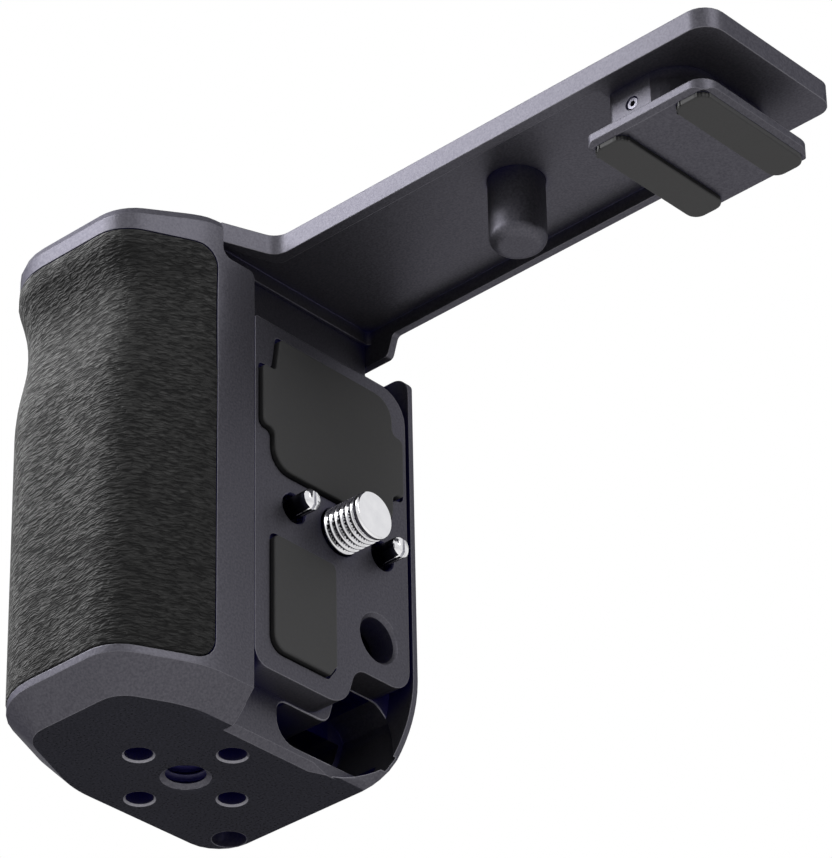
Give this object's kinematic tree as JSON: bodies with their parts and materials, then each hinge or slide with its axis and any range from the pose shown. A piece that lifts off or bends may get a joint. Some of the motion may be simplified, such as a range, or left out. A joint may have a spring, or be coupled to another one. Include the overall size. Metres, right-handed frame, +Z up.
{
  "type": "camera side grip",
  "caption": "Leather-wrapped metal side grip for a camera, with a captive screw, sprung locating pins, and a top arm carrying a shutter plunger and an accessory shoe foot.",
  "frame": {"origin": "centre of the mouth of the tripod thread in the foot of the grip", "axes": "+X along the arm towards the camera, +Y to the rear of the camera, +Z up, out of the foot and into the grip"},
  "size_m": [0.1052, 0.0484, 0.0742],
  "materials": {
    "anodised_metal": "bead-blasted and anodised dark blue-grey",
    "leather": "fine creased black grain",
    "rubber": "smooth matt dark grey",
    "steel": "plain",
    "bright_steel": "polished"
  },
  "bodies": {
    "grip": {"grip_body": "anodised_metal", "leather_wrap": "leather", "mount_plate": "anodised_metal", "plate_screws": "steel", "upper_pad": "rubber", "lower_pad": "rubber", "knob_washer": "steel", "pin_spring_front": "steel", "pin_spring_rear": "steel", "top_arm": "anodised_metal", "arm_screws": "steel", "plunger_bush": "anodised_metal", "plunger_spring": "steel", "shoe_foot": "anodised_metal", "foot_screws": "steel", "foot_strip_near": "rubber", "foot_strip_far": "rubber"},
    "screw": {"camera_screw": "bright_steel", "screw_knob": "anodised_metal", "knob_screw": "steel", "screw_circlip": "steel"},
    "front_pin": {"locating_pin_front": "bright_steel"},
    "rear_pin": {"locating_pin_rear": "bright_steel"},
    "shutter": {"shutter_plunger": "anodised_metal", "shutter_button": "anodised_metal"},
    "set_screw": {"foot_set_screw": "bright_steel"}
  },
  "joints": [
    {"name": "screw_turn", "type": "hinge", "parent": "grip", "child": "screw", "pos_m": [0, 0.00975, 0.03195], "axis": [1, 0, 0], "continuous": true},
    {"name": "front_pin_press", "type": "slide", "parent": "grip", "child": "front_pin", "axis": [-1, 0, 0], "range_m": [0, 0.0032], "stiffness_N_per_m": 300, "springref_m": -0.003, "deforming": ["pin_spring_front"]},
    {"name": "rear_pin_press", "type": "slide", "parent": "grip", "child": "rear_pin", "axis": [-1, 0, 0], "range_m": [0, 0.0032], "stiffness_N_per_m": 300, "springref_m": -0.003, "deforming": ["pin_spring_rear"]},
    {"name": "shutter_press", "type": "slide", "parent": "grip", "child": "shutter", "axis": [0, 0, -1], "range_m": [0, 0.0014], "stiffness_N_per_m": 500, "springref_m": -0.001, "deforming": ["plunger_spring"]},
    {"name": "set_screw_turn", "type": "hinge", "parent": "grip", "child": "set_screw", "pos_m": [0.075, -0.00025, 0.0631], "axis": [0, 1, 0], "continuous": true}
  ]
}
